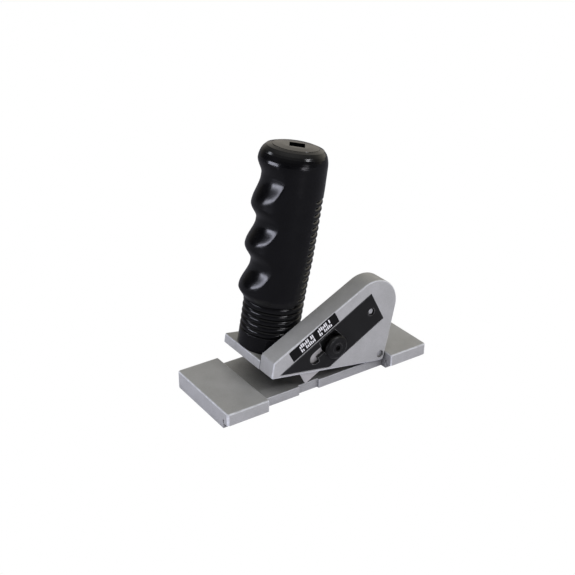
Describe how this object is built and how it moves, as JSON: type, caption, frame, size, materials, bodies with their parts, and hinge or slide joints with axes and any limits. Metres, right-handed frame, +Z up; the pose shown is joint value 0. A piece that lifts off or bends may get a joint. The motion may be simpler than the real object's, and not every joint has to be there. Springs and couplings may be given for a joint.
{
  "type": "edge beveler",
  "caption": "Hand plunge cutter for edges: a flat base rides a straightedge, and a sprung lever with a finger grip presses a clamped blade past the base.",
  "frame": {"origin": "centre of the part's footprint, on the sole's plane", "axes": "+X along the base towards the hinge end, +Y away from the blade side, +Z up"},
  "size_m": [0.124, 0.0508, 0.125],
  "materials": {
    "base": "satin moulded",
    "lever": "satin moulded",
    "grip": "glossy",
    "core": "turned",
    "clamp": "black, satin",
    "screw_black": "black oxide",
    "label": "printed strip",
    "blade_steel": "ground",
    "steel": "zinc plated",
    "spring_steel": "drawn wire",
    "brass": "turned",
    "nylon": "natural"
  },
  "bodies": {
    "base": {"base_plate": "base", "hinge_bush": "brass", "hinge_washers": "nylon", "return_spring": "spring_steel"},
    "lever": {"side_plate": "lever", "grip_platform": "lever", "platform_screws": "steel", "hinge_pin": "steel", "clamp_insert": "screw_black", "clamp_plate": "clamp", "locating_pin": "steel", "label_plate": "label", "handle_core": "core", "handle_bolt": "steel", "handle_washer": "steel", "handle_nut": "steel", "handle_grip": "grip"},
    "blade": {"blade": "blade_steel"},
    "clamp_washer": {"clamp_washer": "steel"},
    "clamp_screw": {"clamp_screw": "screw_black"}
  },
  "joints": [
    {"name": "lever_hinge", "type": "hinge", "parent": "base", "child": "lever", "pos_m": [0.0348, -0.0145, 0.0095], "axis": [0, -1, 0], "range_deg": [0, 9.6], "stiffness_Nm_per_rad": 0.8, "springref_deg": -17.19, "deforming": ["return_spring"]},
    {"name": "blade_slide", "type": "slide", "parent": "lever", "child": "blade", "axis": [0.8838, 0, 0.4679], "range_m": [0, 0.003]},
    {"name": "screw_travel", "type": "slide", "parent": "lever", "child": "clamp_washer", "axis": [0, -1, 0], "range_m": [0, 0.0012]},
    {"name": "screw_turn", "type": "hinge", "parent": "clamp_washer", "child": "clamp_screw", "pos_m": [0.00465, -0.0212, 0.02373], "axis": [0, -1, 0], "range_deg": [0, 540]}
  ],
  "couplings": [
    {"joint": "screw_turn", "follows": "screw_travel", "rad_per_m": 7853.9}
  ]
}
